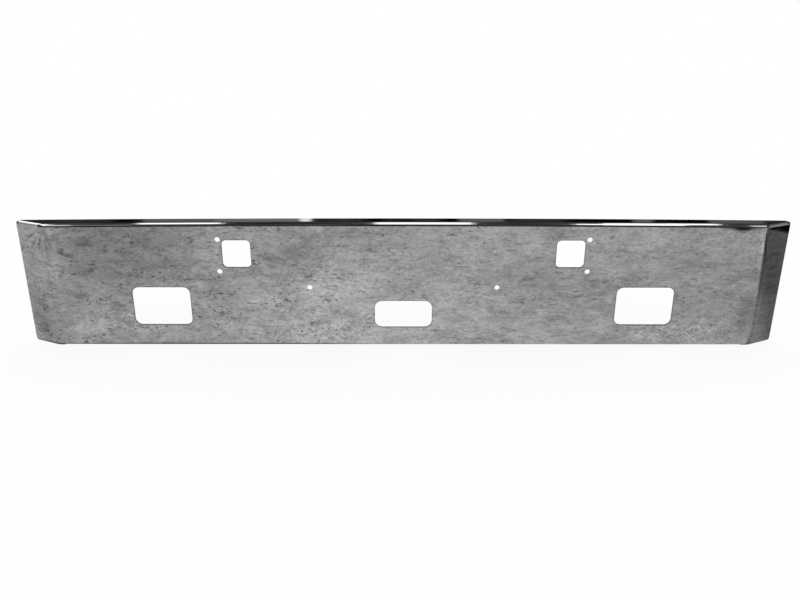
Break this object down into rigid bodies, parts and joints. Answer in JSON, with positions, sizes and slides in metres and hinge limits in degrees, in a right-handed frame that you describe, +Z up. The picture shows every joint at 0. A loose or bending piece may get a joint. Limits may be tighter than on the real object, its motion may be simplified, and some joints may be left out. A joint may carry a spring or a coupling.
{
  "type": "truck front bumper",
  "caption": "Chromed steel front bumper for a heavy truck: flat face, rolled top flange, swept-back ends, cut-outs for fog lamps, tow hooks and a step.",
  "frame": {"origin": "under the middle of the bumper: mid width, mid depth, at the bottom edge", "axes": "+X across the vehicle towards the bumper's right-hand end as seen from the front, -Y forwards out of the face, +Z up"},
  "size_m": [2.4, 0.045, 0.4098],
  "materials": {
    "chrome": "polished"
  },
  "bodies": {
    "root": {"bumper_shell": "chrome"}
  },
  "joints": []
}
